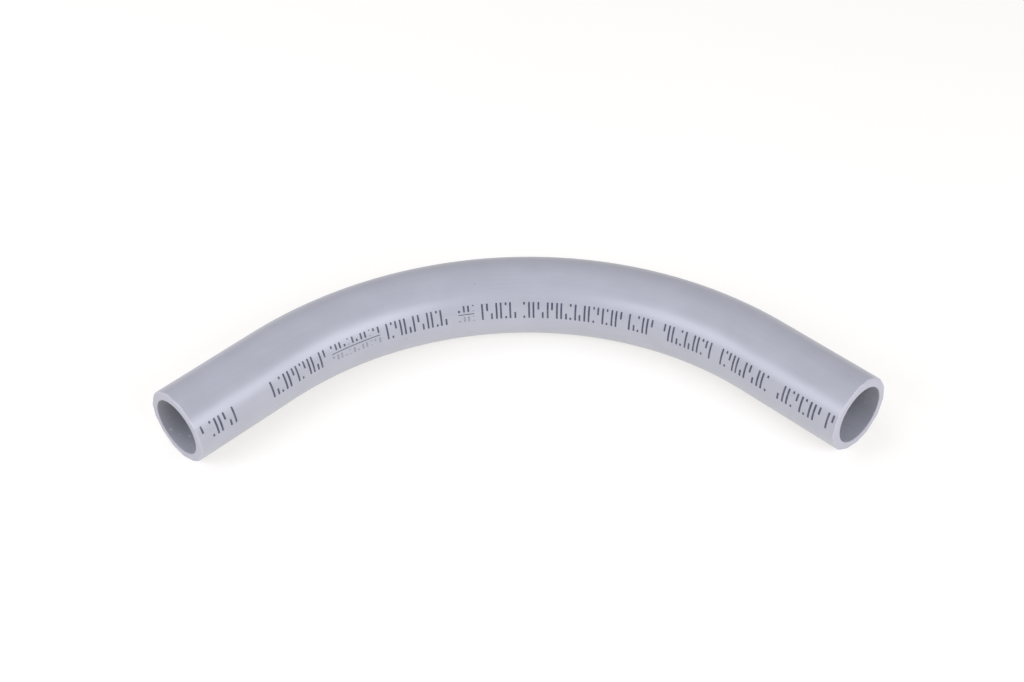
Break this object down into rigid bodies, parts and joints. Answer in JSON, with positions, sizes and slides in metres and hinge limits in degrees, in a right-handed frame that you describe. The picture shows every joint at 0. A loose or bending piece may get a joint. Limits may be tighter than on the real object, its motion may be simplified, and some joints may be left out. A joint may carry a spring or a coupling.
{
  "type": "pipe elbow",
  "caption": "Rigid grey plastic conduit elbow: a pipe bent through a quarter turn, with a straight plain end on each side and a line of ink marks inside the bend.",
  "frame": {"origin": "centre of the first end face, where the pipe was cut", "axes": "the pipe leaves the origin along +Y, bends towards +X, and ends facing +X; its centreline lies in the plane Z = 0"},
  "size_m": [0.2138, 0.2137, 0.0334],
  "materials": {
    "grey_pvc": "satin",
    "printing_ink": "matte"
  },
  "bodies": {
    "root": {"bent_pipe": "grey_pvc", "ink_marks": "printing_ink"}
  },
  "joints": []
}
